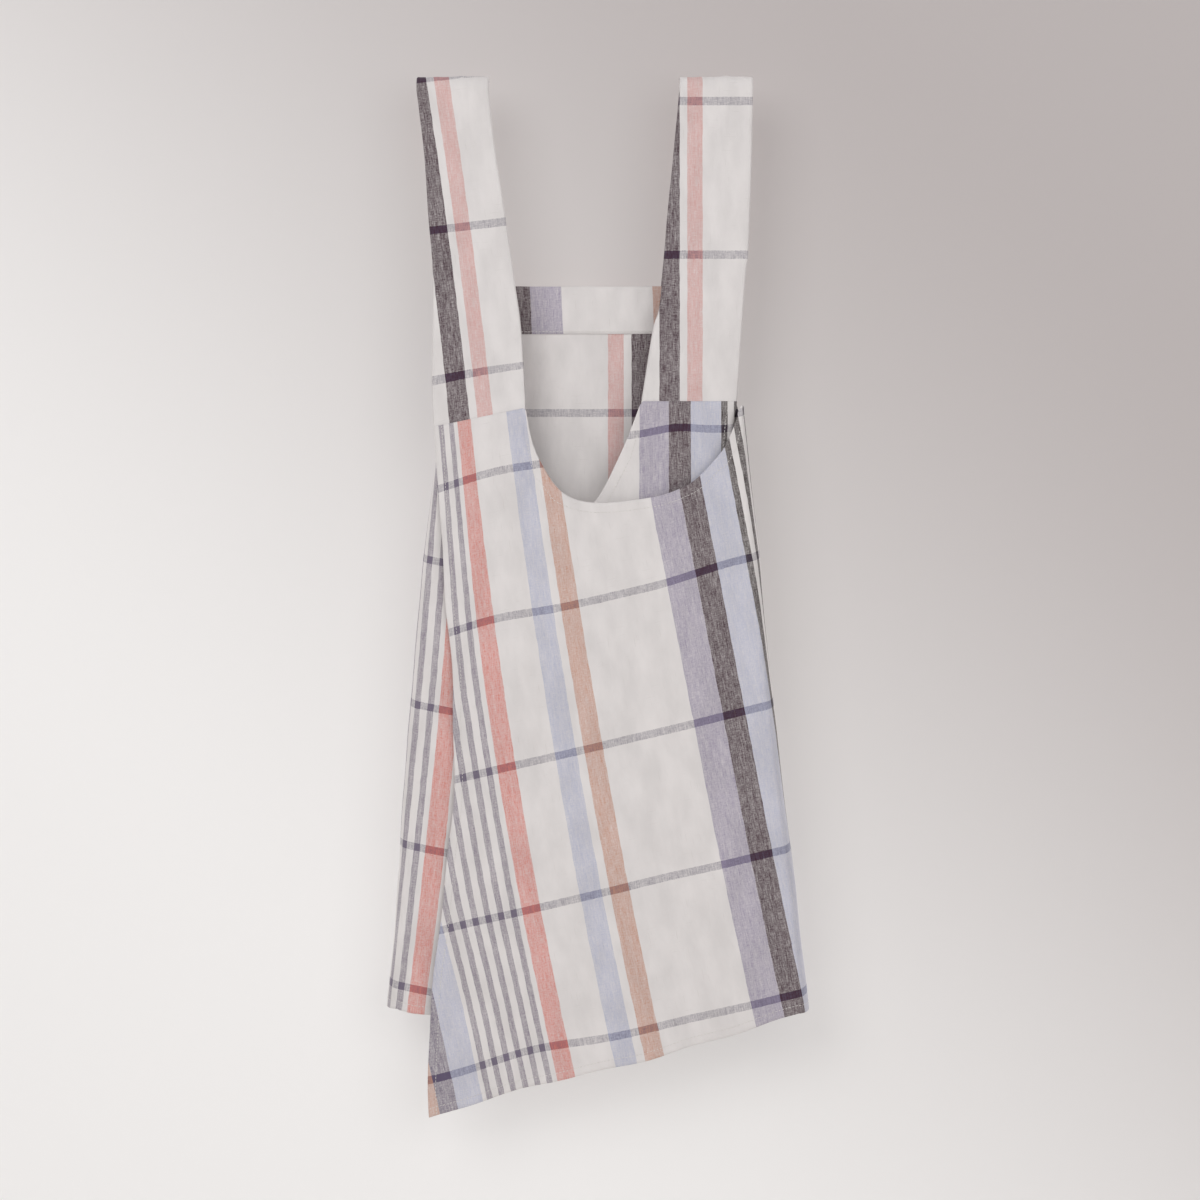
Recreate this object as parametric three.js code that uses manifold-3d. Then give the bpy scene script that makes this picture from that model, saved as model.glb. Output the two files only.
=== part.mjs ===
// Cross-back wrap apron in plaid linen, hung flat by its two shoulder straps.
// Millimetres, +Z up. The origin lies on the hanging line: midway between the two strap tops,
// on the underside of the cloth. The wrapped back of the apron faces -Y, the bib faces +Y.
import * as THREE from "three";
import { mergeVertices } from "three/addons/utils/BufferGeometryUtils.js";
import Module from "manifold-3d";

const wasm = await Module();
wasm.setup();

// Overall sizes.
const garmentDrop = 1000;   // hanging line down to the lowest hem corner
const garmentWidth = 406;   // side fold to side fold along the hem
const garmentDepth = 44;    // outer wing's outside to the front panel's outside

// Cloth and sewing.
const clothThick = 2;       // one layer, hems and slubs included
const facingThick = 1.5;    // turned-in edge band
const facingWidth = 10;     // band along the armhole and back scoops
const bibBandWidth = 44;    // deep band inside the bib's top edge
const seamGap = 0.3;        // between pieces that are sewn or folded to each other

// Layers, measured across the garment.
const panelY = garmentDepth / 2 - clothThick / 2;
const outerY = -panelY;
const underY = outerY / 2;
const foldBulge = 10;       // how far a side fold stands out past the flat cloth

// Straps where they pass over the hanging line.
const peakFlat = 6;         // level stretch on top of the fold
const peakRadius = 4;       // inside radius on each side of it
const peakLeg = 12;         // drop from the hanging line to the foot of the fold

// The outer wing opens about a slanted line from the strap's inner top corner to the hem corner.
const openingGap = 3;
const openingLine = { top: [-90, 0], foot: [214, -900] };

// The pattern: X and Z of each outline, drafted at one size and graded to the sizes above.
const draftDrop = 1000;
const draftWidth = 406;
const strapTop = { outer: 163, inner: 93 };
const bibTop = { half: 130, z: -202 };
const panelHemZ = -893;

const rightFold = [[154, -322], [160, -374], [171, -484], [180, -576], [189, -656], [205, -793], [216, -896]];
const leftFold = [[-141, -352], [-155, -458], [-165, -580], [-172, -656], [-179, -763], [-190, -896]];
const outerSeam = [[-144, -337], [-56, -319]];
const outerScoop = [[-56, -319], [-44, -366], [-22, -399], [10, -410], [64, -405], [93, -396], [131, -362]];
const outerHem = [[74, -940], [-21, -962], [-84, -979], [-148, -1000]];
const outerFreeEdge = [
  [-148, -1000], [-149, -927], [-139, -820], [-126, -702], [-126, -590], [-136, -458], [-144, -337],
];
const underSeam = [[55, -312], [147, -312]];
const underFreeEdge = [
  [147, -312], [142, -345], [138, -420], [126, -600], [111, -705], [102, -852], [101, -922],
];
const underHem = [[101, -922], [-20, -914], [-147, -903]];
const underScoop = [[-120, -374], [-95, -400], [-60, -413], [-15, -419], [10, -409], [37, -358], [55, -312]];
const leftLegEdges = {
  outer: [[-strapTop.outer, 0], [-154, -74], [-150, -132], [-145, -196], [-146, -284], [-144, -337]],
  inner: [[-56, -319], [-60, -246], [-66, -201], [-76, -132], [-87, -59], [-strapTop.inner, 0]],
};
const rightLegEdges = {
  inner: [[strapTop.inner, 0], [86, -74], [80, -132], [73, -216], [66, -243], [55, -312]],
  outer: [[147, -312], [155, -196], [158, -168], [161, -88], [strapTop.outer, 0]],
};

const curveSteps = 4;       // points per stretch of a drawn curve
const foldSteps = 12;       // facets round a side fold
const peakSteps = 5;        // facets round each strap corner

// ---- drawing helpers ---------------------------------------------------------------------

function grade([x, z]) {
  return new THREE.Vector2((x * garmentWidth) / draftWidth, (z * garmentDrop) / draftDrop);
}

function line(points, shiftX = 0, shiftZ = 0) {
  return points.map(grade).map((p) => new THREE.Vector2(p.x + shiftX, p.y + shiftZ));
}

function smooth(points) {
  return new THREE.SplineCurve(points).getPoints((points.length - 1) * curveSteps);
}

function curve(points, shiftX = 0) {
  return smooth(line(points, shiftX));
}

function withoutRepeats(points) {
  return points.filter((p, i) => p.distanceTo(points[(i + 1) % points.length]) > 0.05);
}

// A band of even width along the right-hand side of a drawn edge.
function strip(points, width) {
  const inner = points.map((p, i) => {
    const before = points[Math.max(i - 1, 0)];
    const after = points[Math.min(i + 1, points.length - 1)];
    const along = after.clone().sub(before).normalize();
    return new THREE.Vector2(p.x + along.y * width, p.y - along.x * width);
  });
  return [...points, ...inner.reverse()];
}

// ---- solid helpers -----------------------------------------------------------------------

function extrude(outline, depth, basis, offset) {
  const shape = new THREE.Shape(withoutRepeats(outline));
  const geometry = new THREE.ExtrudeGeometry(shape, { depth, bevelEnabled: false, steps: 1 });
  geometry.applyMatrix4(new THREE.Matrix4().makeBasis(...basis));
  geometry.translate(...offset);
  return geometry;
}

// An outline in X and Z, centred on the layer at y.
function slab(outline, y, thick) {
  const basis = [new THREE.Vector3(1, 0, 0), new THREE.Vector3(0, 0, 1), new THREE.Vector3(0, -1, 0)];
  return extrude(outline, thick, basis, [0, y + thick / 2, 0]);
}

// A profile in Y and Z, drawn out along X.
function rail(profile, fromX, toX) {
  const basis = [new THREE.Vector3(0, 1, 0), new THREE.Vector3(0, 0, 1), new THREE.Vector3(1, 0, 0)];
  return extrude(profile, toX - fromX, basis, [fromX, 0, 0]);
}

function toManifold(geometry) {
  const plain = geometry.clone();
  plain.deleteAttribute("normal");
  plain.deleteAttribute("uv");
  const merged = mergeVertices(plain, 1e-4);
  return new wasm.Manifold(new wasm.Mesh({
    numProp: 3,
    vertProperties: new Float32Array(merged.attributes.position.array),
    triVerts: new Uint32Array(merged.index.array),
  }));
}

function fromManifold(solid) {
  const mesh = solid.getMesh();
  const geometry = new THREE.BufferGeometry();
  geometry.setAttribute("position", new THREE.BufferAttribute(new Float32Array(mesh.vertProperties), 3));
  geometry.setIndex(new THREE.BufferAttribute(new Uint32Array(mesh.triVerts), 1));
  geometry.computeVertexNormals();
  return geometry;
}

function common(a, b) {
  return fromManifold(toManifold(a).intersect(toManifold(b)));
}

// ---- the opening line --------------------------------------------------------------------

const openingTop = grade(openingLine.top);
const openingFoot = grade(openingLine.foot);

// Everything on one side of the opening line: -1 is the wing that opens, +1 the part that stays.
function sideOfOpening(side) {
  const along = openingFoot.clone().sub(openingTop).normalize();
  const across = new THREE.Vector2(-along.y, along.x).multiplyScalar(side);
  const reach = garmentDrop + garmentWidth;
  const edge = (p, run, out) => p.clone().addScaledVector(along, run).addScaledVector(across, out);
  const corners = [
    edge(openingTop, -reach, openingGap / 2),
    edge(openingTop, -reach, reach),
    edge(openingFoot, reach, reach),
    edge(openingFoot, reach, openingGap / 2),
  ];
  if (side > 0) corners.reverse();
  return slab(corners, 0, garmentDepth * 2);
}

// ---- body cloth --------------------------------------------------------------------------

const foldInset = foldBulge + seamGap;

function bibSide(sign) {
  const foot = grade(sign > 0 ? rightFold[0] : leftFold[0]);
  foot.x -= sign * foldInset;
  const corner = grade([sign * bibTop.half, bibTop.z]);
  const waist = new THREE.Vector2((corner.x * 2 + foot.x) / 3, (corner.y + foot.y) / 2);
  return smooth([corner, waist, foot]);
}

function frontPanel() {
  const hem = grade([0, panelHemZ]).y;
  const right = curve(rightFold, -foldInset).filter((p) => p.y > hem);
  const left = curve(leftFold, foldInset).filter((p) => p.y > hem);
  const rightCorner = new THREE.Vector2(right.at(-1).x, hem);
  const leftCorner = new THREE.Vector2(left.at(-1).x, hem);
  const outline = [
    ...bibSide(1), ...right, rightCorner,
    leftCorner, ...left.reverse(), ...bibSide(-1).reverse(),
  ];
  return slab(outline, panelY, clothThick);
}

// A side fold is a half oval shell that follows the silhouette from the armhole to the hem.
function sideFold(silhouette, sign, nearY) {
  const edge = curve(silhouette);
  const middle = (nearY + panelY) / 2;
  const halfDepth = (panelY - nearY) / 2;
  const profile = [];
  for (const offset of [clothThick / 2, -clothThick / 2]) {
    const arc = [];
    for (let i = 0; i <= foldSteps; i += 1) {
      const angle = -Math.PI / 2 + (Math.PI * i) / foldSteps;
      const reachX = (foldBulge - clothThick / 2 + offset) * Math.cos(angle);
      arc.push([reachX - foldBulge, middle + (halfDepth + offset) * Math.sin(angle)]);
    }
    profile.push(...(offset > 0 ? arc : arc.reverse()));
  }
  const count = profile.length;
  const positions = [];
  for (const p of edge) {
    for (const [x, y] of profile) positions.push(p.x + sign * x, y, p.y);
  }
  const faces = [];
  const quad = (a, b, c, d) => faces.push(a, b, c, a, c, d);
  for (let row = 0; row + 1 < edge.length; row += 1) {
    for (let i = 0; i < count; i += 1) {
      const next = (i + 1) % count;
      quad(row * count + i, (row + 1) * count + i, (row + 1) * count + next, row * count + next);
    }
  }
  const last = (edge.length - 1) * count;
  for (let i = 0; i < foldSteps; i += 1) {
    const opposite = count - 1 - i;
    quad(i, i + 1, opposite - 1, opposite);
    quad(last + opposite, last + opposite - 1, last + i + 1, last + i);
  }
  if (sign < 0) {
    for (let i = 0; i < faces.length; i += 3) [faces[i], faces[i + 1]] = [faces[i + 1], faces[i]];
  }
  const geometry = new THREE.BufferGeometry();
  geometry.setAttribute("position", new THREE.Float32BufferAttribute(positions, 3));
  geometry.setIndex(faces);
  geometry.computeVertexNormals();
  return geometry;
}

function outerWingOutline() {
  const side = curve(rightFold, -foldInset);
  const outline = [
    ...line(outerSeam, 0, -seamGap),
    ...outerScoopEdge().slice(1),
    ...side.slice(1),
    ...smooth([side.at(-1), ...line(outerHem)]).slice(1),
    ...curve(outerFreeEdge).slice(1, -1),
  ];
  return outline.reverse();
}

function outerScoopEdge() {
  const foldTop = line(rightFold, -foldInset)[0];
  return smooth([...line(outerScoop), foldTop]);
}

function underWingOutline() {
  const side = curve(leftFold, foldInset);
  const outline = [
    ...line(underSeam, 0, -seamGap),
    ...curve(underFreeEdge).slice(1),
    ...smooth([...line(underHem), side.at(-1)]).slice(1),
    ...side.reverse().slice(1),
    ...underScoopEdge().slice(1, -1),
  ];
  return outline.reverse();
}

function underScoopEdge() {
  const foldTop = line(leftFold, foldInset)[0];
  return smooth([foldTop, ...line(underScoop)]);
}

// ---- turned-in edge bands ----------------------------------------------------------------

const facingOffset = clothThick / 2 + seamGap + facingThick / 2;

// The band follows the scoop and stays inside the wing that it edges.
function scoopFacing(edge, wingOutline, wingY) {
  const band = slab(strip(edge, facingWidth), wingY + facingOffset, facingThick);
  return common(band, slab(wingOutline, wingY + facingOffset, facingThick));
}

function bibBandFootZ() {
  return grade([0, bibTop.z]).y - bibBandWidth;
}

function bibBand() {
  const foot = bibBandFootZ();
  const sides = [1, -1].map((sign) => bibSide(sign).filter((p) => p.y > foot));
  const [right, left] = sides;
  const outline = [
    ...right, new THREE.Vector2(right.at(-1).x, foot),
    new THREE.Vector2(left.at(-1).x, foot), ...left.reverse(),
  ];
  return slab(outline, panelY - facingOffset, facingThick);
}

function armholeFacing(sign) {
  const edge = bibSide(sign).filter((p) => p.y < bibBandFootZ() - seamGap);
  const band = sign > 0 ? strip(edge, facingWidth) : strip(edge.reverse(), facingWidth);
  return slab(band, panelY - facingOffset, facingThick);
}

// ---- shoulder straps ---------------------------------------------------------------------

const peakInner = peakFlat / 2 + peakRadius;
const legTopY = peakInner + clothThick / 2;

// Half of the strap's fold over the hanging line, on the +Y side, offset from the cloth's middle.
function peakCorner(offset) {
  const points = [];
  const radius = peakRadius + clothThick / 2 + offset;
  for (let i = 0; i <= peakSteps; i += 1) {
    const angle = Math.PI / 2 - (Math.PI / 2) * (i / peakSteps);
    const out = peakFlat / 2 + radius * Math.cos(angle);
    const up = radius * Math.sin(angle) - peakRadius;
    points.push(new THREE.Vector2(out, up));
  }
  return points;
}

function mirrored(points) {
  return points.map((p) => new THREE.Vector2(-p.x, p.y)).reverse();
}

function backProfile() {
  const half = clothThick / 2;
  const footZ = grade([0, bibTop.z]).y + seamGap;
  const outside = peakCorner(half);
  const inside = peakCorner(-half);
  return [
    new THREE.Vector2(-legTopY - half, -peakLeg),
    ...mirrored(outside),
    ...outside,
    new THREE.Vector2(legTopY + half, -peakLeg),
    new THREE.Vector2(panelY + half, footZ),
    new THREE.Vector2(panelY - half, footZ),
    new THREE.Vector2(legTopY - half, -peakLeg),
    ...inside.reverse(),
    ...mirrored(inside),
    new THREE.Vector2(-legTopY + half, -peakLeg),
  ];
}

function strapBack(sign) {
  const top = peakRadius * 2;
  const across = (x) => grade([sign * x, 0]).x;
  const footZ = grade([0, bibTop.z]).y;
  const corners = [
    new THREE.Vector2(across(strapTop.inner), top),
    new THREE.Vector2(across(strapTop.outer), top),
    new THREE.Vector2(across(strapTop.outer), -peakLeg),
    new THREE.Vector2(across(bibTop.half), footZ),
    new THREE.Vector2(across(bibTop.half - strapTop.outer + strapTop.inner), footZ),
    new THREE.Vector2(across(strapTop.inner), -peakLeg),
  ];
  if (sign > 0) corners.reverse();
  const profile = rail(backProfile(), -garmentWidth, garmentWidth);
  return common(profile, slab(corners, 0, garmentDepth * 2));
}

function strapFront(edges, sign, layerY) {
  const half = clothThick / 2;
  const head = -peakLeg - seamGap;
  const outline = sign < 0
    ? [...curve(edges.outer), ...curve(edges.inner)]
    : [...curve(edges.inner), ...curve(edges.outer)];
  const foot = Math.min(...outline.map((p) => p.y));
  const profile = [
    new THREE.Vector2(-legTopY - half, head),
    new THREE.Vector2(-legTopY + half, head),
    new THREE.Vector2(layerY + half, foot - 1),
    new THREE.Vector2(layerY - half, foot - 1),
  ];
  const prism = slab(outline, 0, garmentDepth * 2);
  return common(rail(profile.reverse(), -garmentWidth, garmentWidth), prism);
}

// ---- assembly ----------------------------------------------------------------------------

const apron = new THREE.Group();
apron.name = "cross_back_wrap_apron";

function add(name, geometry, color, roughness = 0.92) {
  const material = new THREE.MeshStandardMaterial({ color, roughness, metalness: 0 });
  const mesh = new THREE.Mesh(geometry, material);
  mesh.name = name;
  apron.add(mesh);
}

const opens = sideOfOpening(-1);
const stays = sideOfOpening(1);
const outerWing = slab(outerWingOutline(), outerY, clothThick);
const underWing = slab(underWingOutline(), underY, clothThick);
const outerFacing = scoopFacing(outerScoopEdge(), outerWingOutline(), outerY);
const underFacing = scoopFacing(underScoopEdge(), underWingOutline(), underY);

add("front_panel", frontPanel(), 0xd3cdca);
add("right_side_fold", sideFold(rightFold, 1, outerY), 0xb9bccb);
add("left_side_fold", sideFold(leftFold, -1, underY), 0xc9c2c0);
add("outer_wing_root", common(outerWing, stays), 0xbfc0cc);
add("outer_wing_flap", common(outerWing, opens), 0xdcd6d2);
add("under_wing", underWing, 0xcfc8c6);
add("bib_band", bibBand(), 0xd8d2ce);
add("left_armhole_facing", armholeFacing(-1), 0xcbb3b0);
add("right_armhole_facing", armholeFacing(1), 0xb8b2ba);
add("outer_scoop_facing_flap", common(outerFacing, opens), 0xc9aaa4);
add("outer_scoop_facing_root", common(outerFacing, stays), 0xa79fa8);
add("under_scoop_facing", underFacing, 0xb3aeb8);
add("left_strap_front", strapFront(leftLegEdges, -1, outerY), 0xd9c1be);
add("left_strap_back", strapBack(-1), 0xd2cbc8);
add("right_strap_front", strapFront(rightLegEdges, 1, underY), 0xd9c9c6);
add("right_strap_back", strapBack(1), 0xd2cbc8);

export default apron;
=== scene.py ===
"""Cross-back wrap apron in plaid linen, hung flat by its straps: the visual model.

Sizes are in millimetres until a mesh is made. +Z is up, and the wrapped back faces -Y.
Each cloth piece is a grid of points, rows down the cloth and columns across it, with the
cloth's own coordinates (u across the stripes, v along them) kept beside the points.
"""

import math

import bpy
import numpy as np
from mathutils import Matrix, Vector, noise


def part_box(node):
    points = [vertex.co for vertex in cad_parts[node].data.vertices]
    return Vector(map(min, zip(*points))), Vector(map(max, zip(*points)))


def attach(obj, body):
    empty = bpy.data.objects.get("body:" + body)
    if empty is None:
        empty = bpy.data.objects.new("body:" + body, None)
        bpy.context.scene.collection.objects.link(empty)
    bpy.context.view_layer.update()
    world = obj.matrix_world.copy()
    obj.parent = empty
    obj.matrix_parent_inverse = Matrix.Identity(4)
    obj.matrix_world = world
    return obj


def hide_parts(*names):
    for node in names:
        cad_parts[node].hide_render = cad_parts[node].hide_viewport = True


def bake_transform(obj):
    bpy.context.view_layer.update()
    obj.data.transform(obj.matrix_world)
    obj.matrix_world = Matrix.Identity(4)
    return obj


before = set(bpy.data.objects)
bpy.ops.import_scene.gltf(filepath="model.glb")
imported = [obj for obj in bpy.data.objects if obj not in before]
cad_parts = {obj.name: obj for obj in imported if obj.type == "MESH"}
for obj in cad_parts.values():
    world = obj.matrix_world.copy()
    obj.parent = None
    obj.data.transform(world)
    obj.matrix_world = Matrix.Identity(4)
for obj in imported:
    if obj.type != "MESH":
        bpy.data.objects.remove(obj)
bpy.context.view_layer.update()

MM = 0.001

# ---- sizes taken from the frame ------------------------------------------------------------

DRAFT_DROP = 1000.0     # the size that the pattern below is drafted at
DRAFT_WIDTH = 406.0
CAD_HALF = 1.0          # half the thickness of a CAD layer


def box_mm(node):
    low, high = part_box(node)
    return np.array(low) / MM, np.array(high) / MM


def middle_y(node):
    low, high = box_mm(node)
    return (low[1] + high[1]) / 2


DOWN = -box_mm("outer_wing_flap")[0][2] / DRAFT_DROP
ACROSS = (box_mm("right_side_fold")[1][0] - box_mm("left_side_fold")[0][0]) / DRAFT_WIDTH
OUTER_Y = middle_y("outer_wing_flap")
UNDER_Y = middle_y("under_wing")
PANEL_Y = middle_y("front_panel")
# A strap leg's distance from the hanging line at its top.
STRAP_OUT = CAD_HALF - box_mm("left_strap_front")[1][1]

# ---- cloth and sewing ----------------------------------------------------------------------

CLOTH = 0.8             # thickness of one layer
STRAP = 2.4             # a strap is a flat tube of two layers
BAND = 10.0             # turned-in band along scoops and armholes
HEM = 8.5               # turned-up hem
BIB_BAND = 43.0
FOLD_BULGE = 10.0       # how far a side fold stands out past the flat cloth
FOLD_TOP_BULGE = 3.5    # and at its top, where the armhole pulls it flat
FOLD_OPENS = 70         # the drop over which it opens to its full bulge
PEAK_Z = -12.0          # where a strap's leg meets its fold over the hanging line
SEAM_LAP = 8.0          # how far a strap runs in behind the edge it is sewn to
SEAM_PRESS = 45         # the distance from a seam, an edge or a fold over which the cloth starts to drape
FOOT_TILT = 70          # the length of strap that turns to follow a slanting seam
BACK_FOOT = 0.78        # a back leg's width at its foot, as a share of its width at the top
LEG_CURVE = 0.15        # the share of a front leg over which it curves from upright to its slope
TURNED = CLOTH * 0.9    # thickness of a turned-in band, which is pressed
TURN_GAP = CLOTH * 1.15     # from the middle of the cloth to the middle of a band turned in on it
SIDE_GAP = CLOTH * 2.3      # and where the band lies on another band
STITCH = 2.5            # length of one stitch
STITCH_PITCH = 3.4
THREAD = 0.5

# The pattern: X and Z of each edge of the hung cloth.
RIGHT_FOLD = [(154, -322), (160, -374), (171, -484), (180, -576), (189, -656), (205, -793), (216, -896)]
LEFT_FOLD = [(-141, -352), (-155, -458), (-165, -580), (-172, -656), (-179, -763), (-190, -896)]
OUTER_TOP = [(-144, -337), (-56, -319)]
OUTER_SCOOP = [(-56, -319), (-52, -342), (-44, -366), (-22, -399), (10, -410), (64, -405), (93, -396),
               (110, -385), (131, -362), (138, -350), (145, -333), (149, -317)]
OUTER_HEM = [(-148, -1000), (-84, -979), (-21, -962), (74, -940), (206, -899)]
OUTER_FREE = [(-144, -337), (-140, -390), (-136, -458), (-126, -590), (-126, -702), (-139, -820),
              (-149, -927), (-148, -1000)]
UNDER_TOP = [(55, -312), (147, -312)]
UNDER_SCOOP = [(-131, -352), (-120, -374), (-95, -400), (-60, -413), (-15, -419), (10, -409), (37, -358),
               (55, -312)]
UNDER_HEM = [(-180, -896), (-147, -903), (-20, -914), (101, -922)]
UNDER_FREE = [(147, -312), (142, -345), (138, -420), (126, -600), (111, -705), (102, -852), (101, -922)]
OUTER_SEAM_END = OUTER_TOP[-1][0]   # X where each strap's seam ends and the scoop begins
UNDER_SEAM_END = UNDER_TOP[0][0]
BIB_HALF = 130
BIB_TOP = -199
PANEL_HEM = -893
LEFT_LEG = {
    "left": [(-163, 0), (-154, -74), (-150, -132), (-145, -196), (-146, -284), (-144, -337)],
    "right": [(-93, 0), (-87, -59), (-76, -132), (-66, -201), (-60, -246), (-56, -319)],
}
RIGHT_LEG = {
    "left": [(93, 0), (86, -74), (80, -132), (73, -216), (66, -243), (55, -312)],
    "right": [(163, 0), (161, -88), (158, -168), (155, -196), (147, -312)],
}

# The plaid, one repeat across the cloth: each stripe's colour and width.
CORAL = 17
PINK = 15
CHARCOAL = 19           # the second of the two charcoal stripes
PLAID = [
    ("tan", 12.5), ("grey", 20), ("light_blue", 28.5), ("white", 4.5), ("fine_grey", 71), ("white", 3.5),
    ("coral", CORAL), ("white", 37), ("light_blue", 20), ("white", 8), ("tan", 17), ("white", 84),
    ("lilac", 30), ("charcoal", 21), ("light_blue", 29), ("white", 2), ("fine_dark", 59), ("white", 35),
    ("charcoal", CHARCOAL), ("white", 8), ("pink", PINK), ("white", 84),
]
FINE = {"fine_grey": (13.0, 6.1), "fine_dark": (12.4, 6.2)}    # pitch and width of the narrow stripes
WEFT_PITCH = 141.0
WEFT_STRIPE = 7.6

# Colours as they show with the white weft across them, in sRGB.
SHOWN = {
    "white": (222, 217, 215),
    "tan": (205, 176, 165),
    "grey": (160, 153, 160),
    "light_blue": (197, 196, 206),
    "coral": (215, 167, 161),
    "lilac": (181, 174, 184),
    "charcoal": (126, 116, 118),
    "pink": (213, 182, 178),
    "fine_grey": (172, 165, 170),
    "fine_dark": (122, 112, 115),
    "weft": (187, 182, 184),
}
WARP_SHARE = 0.62       # how much of the surface the warp yarns cover
SHADED_DARK_SHARE = 0.76       # and where the yarns are charcoal: more, which darkens those stripes with painted shade from between the yarns
DARK = ("charcoal", "fine_dark")


def stripe_start(name, count=0):
    """Distance from the start of the repeat to the first edge of a stripe."""
    at = 0
    for kind, width in PLAID:
        if kind == name:
            if count == 0:
                return at
            count -= 1
        at += width
    raise ValueError(name)


REPEAT = sum(width for _, width in PLAID)

# ---- curves --------------------------------------------------------------------------------


def smooth(points, steps=16):
    """A smooth curve through graded pattern points."""
    p = np.array(points, float) * (ACROSS, DOWN)
    padded = np.vstack([2 * p[0] - p[1], p, 2 * p[-1] - p[-2]])
    made = []
    for a, b, c, d in zip(padded, padded[1:], padded[2:], padded[3:]):
        t = np.arange(steps)[:, None] / steps
        square = (2 * a - 5 * b + 4 * c - d) * t**2
        cube = (3 * b - a - 3 * c + d) * t**3
        made.append(0.5 * (2 * b + (c - a) * t + square + cube))
    return np.vstack([*made, p[-1:]])


def x_at(curve, z):
    """X of an edge that runs down the cloth."""
    order = np.argsort(curve[:, 1])
    return np.interp(z, curve[order, 1], curve[order, 0])


def z_at(curve, x):
    """Z of an edge that runs across the cloth."""
    order = np.argsort(curve[:, 0])
    return np.interp(x, curve[order, 0], curve[order, 1])


def ease(t):
    t = np.clip(t, 0, 1)
    return t * t * (3 - 2 * t)


def mix(a, b, t):
    return a + (b - a) * t


# ---- drape ---------------------------------------------------------------------------------


def crumple(x, z, seed, across, along, height):
    """Soft random relief, longer down the cloth than across it."""
    flat = zip(np.ravel(x / across), np.ravel(z / along))
    values = [noise.noise(Vector((a, b, seed * 7.3))) for a, b in flat]
    return height * np.array(values).reshape(np.shape(x))


def ridges(x, z, seed, across, along, height):
    """Thin crease lines, only here and there."""
    line = np.exp(-(crumple(x, z, seed, across, along, 1.0) / 0.09) ** 2)
    there = ease(crumple(x, z, seed + 5, across * 1.5, along, 2.6))
    return height * line * there


def creases(x, z, seed):
    soft = crumple(x, z, seed, 34, 90, 1.4) + crumple(x, z, seed + 1, 13, 34, 0.4)
    fine = crumple(x + z * 0.3, z, seed + 2, 6, 11, 0.16)
    lines = ridges(x + z * 0.2, z, seed + 3, 40, 75, 0.6) - ridges(x - z * 0.5, z, seed + 4, 22, 40, 0.35)
    return soft + fine + lines


# ---- grids ---------------------------------------------------------------------------------


def bulge(fold, z):
    """How far a side fold stands out at a height."""
    return mix(FOLD_TOP_BULGE, FOLD_BULGE, ease((fold[0, 1] - z) / FOLD_OPENS))


def fold_inner(fold, sign, z):
    """X where a side fold's roll meets the flat cloth."""
    return x_at(fold, z) - sign * bulge(fold, z)


def wing_grid(sign, fold, free, top, hem, near_y, drape, rows=190, flat_columns=110, fold_columns=22):
    """A back wing and its side fold, from the front panel round the fold to the free edge.

    sign is +1 for the wing that comes round the right fold and -1 for the left one.
    """
    def flat_x(z, s):
        return mix(fold_inner(fold, sign, z), x_at(free, z), s)

    share = np.linspace(0, 1, flat_columns + 1)
    z_top = np.full_like(share, fold[0, 1])
    z_foot = np.full_like(share, fold[-1, 1])
    for _ in range(30):
        z_top = mix(z_top, z_at(top, flat_x(z_top, share)), 0.5)
        z_foot = mix(z_foot, z_at(hem, flat_x(z_foot, share)), 0.5)

    turn = np.linspace(math.pi / 2, -math.pi / 2, fold_columns + 1)[:-1]
    lead = (1 - np.sin(turn)) / 2
    z_top = np.concatenate([mix(fold[0, 1], z_top[0], lead) + 2 * np.cos(turn) ** 2, z_top])
    z_foot = np.concatenate([mix(PANEL_HEM * DOWN, z_foot[0], lead), z_foot])
    turn = np.concatenate([turn, np.full_like(share, -math.pi / 2)])
    share = np.concatenate([np.zeros(fold_columns), share])

    down = np.linspace(0, 1, rows + 1)[:, None]
    z = mix(z_top, z_foot, down)
    half = (PANEL_Y - near_y) / 2
    x = flat_x(z, share) + sign * bulge(fold, z) * np.cos(turn)
    y = (PANEL_Y + near_y) / 2 + half * np.sin(turn)
    x, y = x + 0 * z, y + 0 * z
    on_flat = np.clip(np.abs(x - fold_inner(fold, sign, z)) / SEAM_PRESS, 0, 1) * (share > 0)
    y = y + drape(x, z) * ease(on_flat)
    wave = crumple(x, z, 40 + sign, 60, 70, 1.6) * np.cos(turn) ** 2 * ease(down * 10)
    edge_wave = 0.9 * np.sin(z / 19) * ease(share * 12 - 11) * ease(down * 8)
    hem_wave = 0.8 * np.sin(x / 13) * ease(down * 30 - 29) * (share > 0)
    return np.stack([x + wave + edge_wave, y, z + hem_wave], axis=-1)


def panel_grid(rows=200, columns=110):
    """The front panel with its bib, between the two side folds."""
    z = np.linspace(BIB_TOP, PANEL_HEM, rows + 1)[:, None] * DOWN
    edges = []
    for sign, fold in ((-1, left_fold), (1, right_fold)):
        below = fold_inner(fold, sign, z)
        foot = (fold[0, 0] - sign * FOLD_TOP_BULGE, fold[0, 1])
        drop = np.clip((BIB_TOP * DOWN - z) / (BIB_TOP * DOWN - foot[1]), 0, 1)
        bib = mix(sign * BIB_HALF * ACROSS, foot[0], drop**1.6)
        edges.append(np.where(z > foot[1], bib, below))
    across = np.linspace(0, 1, columns + 1)
    x = mix(edges[0], edges[1], across)
    z = z + 0 * x
    inside = ease(np.minimum(across, 1 - across) / 0.12)
    y = PANEL_Y + panel_drape(x, z) * inside
    return np.stack([x, y, z], axis=-1)


def calm(edge, x, z, past_seam):
    """Less relief towards the top edge, and none where a strap is sewn on."""
    away = ease((z_at(edge, x) - z) / SEAM_PRESS)
    return mix(away, 0.4 + 0.6 * away, ease(past_seam / 25))


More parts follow.
